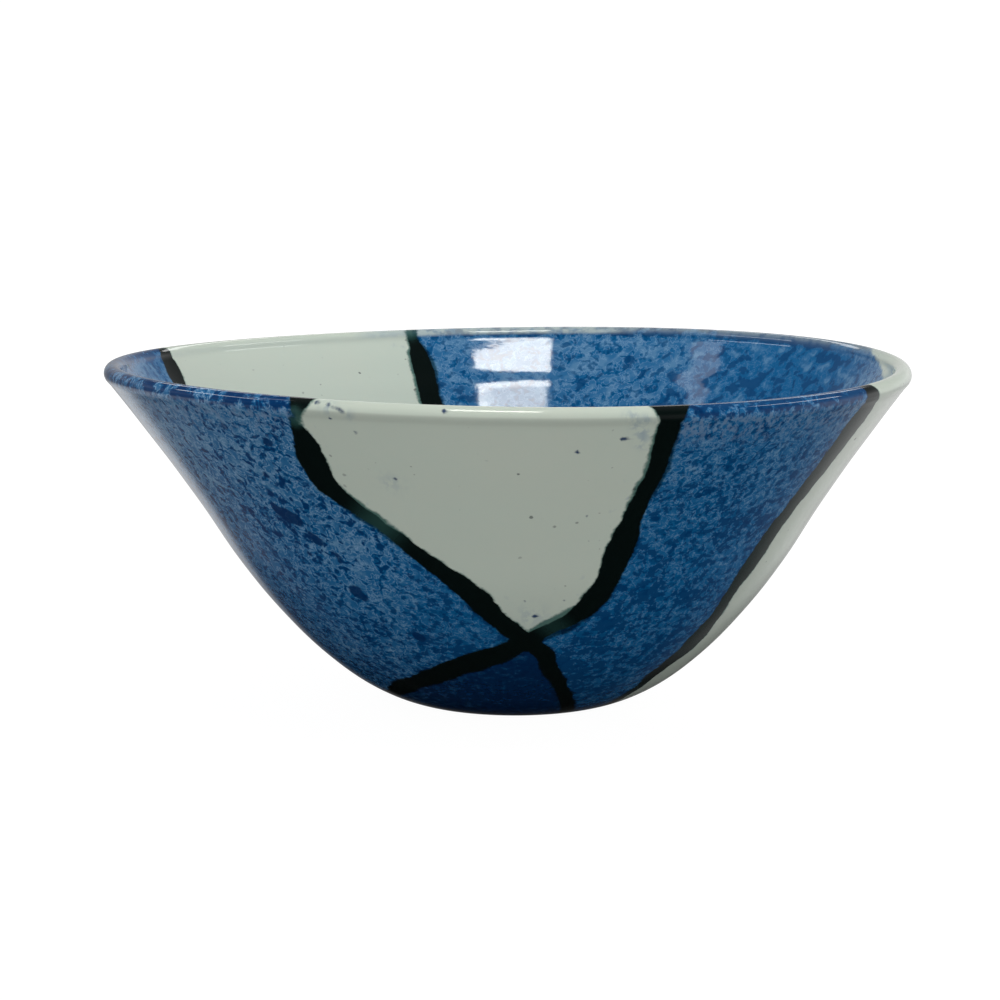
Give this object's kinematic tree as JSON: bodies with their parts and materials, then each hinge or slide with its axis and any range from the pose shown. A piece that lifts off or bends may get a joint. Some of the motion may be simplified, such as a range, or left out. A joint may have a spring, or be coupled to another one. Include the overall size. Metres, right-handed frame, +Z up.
{
  "type": "serving bowl",
  "caption": "Wide round serving bowl of glazed ceramic, with a rounded lip, a flaring wall and a low foot ring.",
  "frame": {"origin": "on the ground, under the middle of the rim", "axes": "+Z up through the bowl, and -Y towards the viewer of the side that the picture shows"},
  "size_m": [0.3, 0.3, 0.1282],
  "materials": {
    "glaze": "gloss"
  },
  "bodies": {
    "root": {"bowl": "glaze"}
  },
  "joints": []
}
